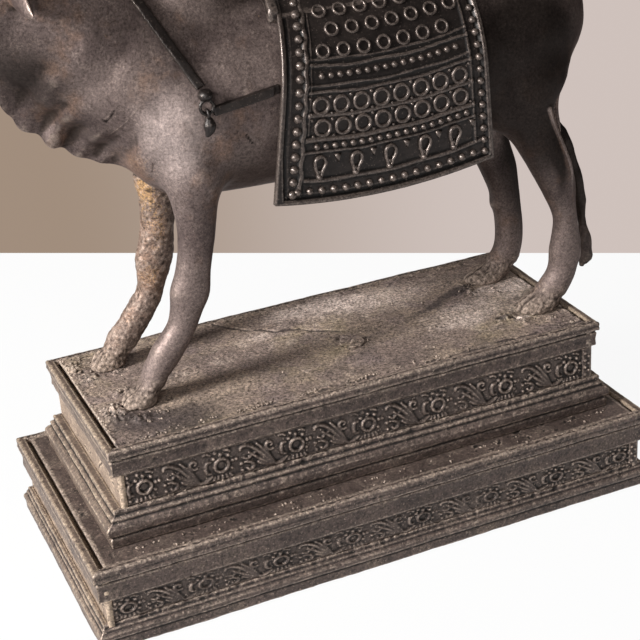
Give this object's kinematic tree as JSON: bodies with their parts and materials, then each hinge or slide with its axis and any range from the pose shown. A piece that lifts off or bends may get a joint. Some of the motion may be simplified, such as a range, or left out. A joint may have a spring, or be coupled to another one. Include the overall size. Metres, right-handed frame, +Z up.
{
  "type": "bronze temple bull on a plinth",
  "caption": "Standing humped bull with a tasselled saddle cloth on an oblong two-tier plinth, built up from cast and brazed bronze pieces.",
  "frame": {"origin": "on the surface the plinth stands on, under the middle of the whole statue's bounding box", "axes": "+X from the bull's head end to its tail, along the plinth; +Y from the side the picture shows to the far side; +Z up"},
  "size_m": [0.4157, 0.1642, 0.3906],
  "materials": {
    "plinth": "dark brown bronze, grainy as cast",
    "frieze": "dark bronze with worn relief",
    "body": "dark grey-brown bronze, satin",
    "gilt": "rough bronze with traces of gilding",
    "cloth": "near-black bronze with worn relief"
  },
  "bodies": {
    "statue": {"lower_wall_near": "plinth", "lower_cornice_near": "plinth", "lower_base_moulding_near": "plinth", "lower_frieze_near": "frieze", "lower_wall_far": "plinth", "lower_cornice_far": "plinth", "lower_base_moulding_far": "plinth", "lower_frieze_far": "frieze", "lower_wall_head_end": "plinth", "lower_cornice_head_end": "plinth", "lower_base_moulding_head_end": "plinth", "lower_wall_tail_end": "plinth", "lower_cornice_tail_end": "plinth", "lower_base_moulding_tail_end": "plinth", "upper_wall_near": "plinth", "upper_cornice_near": "plinth", "upper_base_moulding_near": "plinth", "upper_frieze_near": "frieze", "upper_wall_far": "plinth", "upper_cornice_far": "plinth", "upper_base_moulding_far": "plinth", "upper_frieze_far": "frieze", "upper_wall_head_end": "plinth", "upper_cornice_head_end": "plinth", "upper_base_moulding_head_end": "plinth", "upper_wall_tail_end": "plinth", "upper_cornice_tail_end": "plinth", "upper_base_moulding_tail_end": "plinth", "ledge_plate": "plinth", "deck_plate": "plinth", "deck_core_plug": "body", "near_foreleg_rove": "body", "far_foreleg_rove": "body", "near_hind_leg_rove": "body", "far_hind_leg_rove": "body", "body_barrel": "body", "neck_and_hump": "body", "dewlap": "body", "head": "body", "near_horn": "body", "near_ear": "body", "far_horn": "body", "far_ear": "body", "near_foreleg": "body", "far_foreleg": "gilt", "near_hind_leg": "body", "far_hind_leg": "body", "tail": "body", "saddle_cloth_near": "cloth", "saddle_cloth_far": "cloth", "saddle_seat": "cloth", "neck_collar": "cloth", "near_breast_strap": "cloth", "far_breast_strap": "cloth"},
    "near_tassel": {"near_tassel": "cloth"},
    "far_tassel": {"far_tassel": "cloth"}
  },
  "joints": [
    {"name": "near_tassel_swing", "type": "hinge", "parent": "statue", "child": "near_tassel", "pos_m": [-0.04717, -0.03654, 0.2673], "axis": [0.9993, -0.0372, 0], "range_deg": [-55, 2]},
    {"name": "far_tassel_swing", "type": "hinge", "parent": "statue", "child": "far_tassel", "pos_m": [-0.04388, 0.05192, 0.2673], "axis": [0.9993, -0.0372, 0], "range_deg": [-2, 55]}
  ]
}
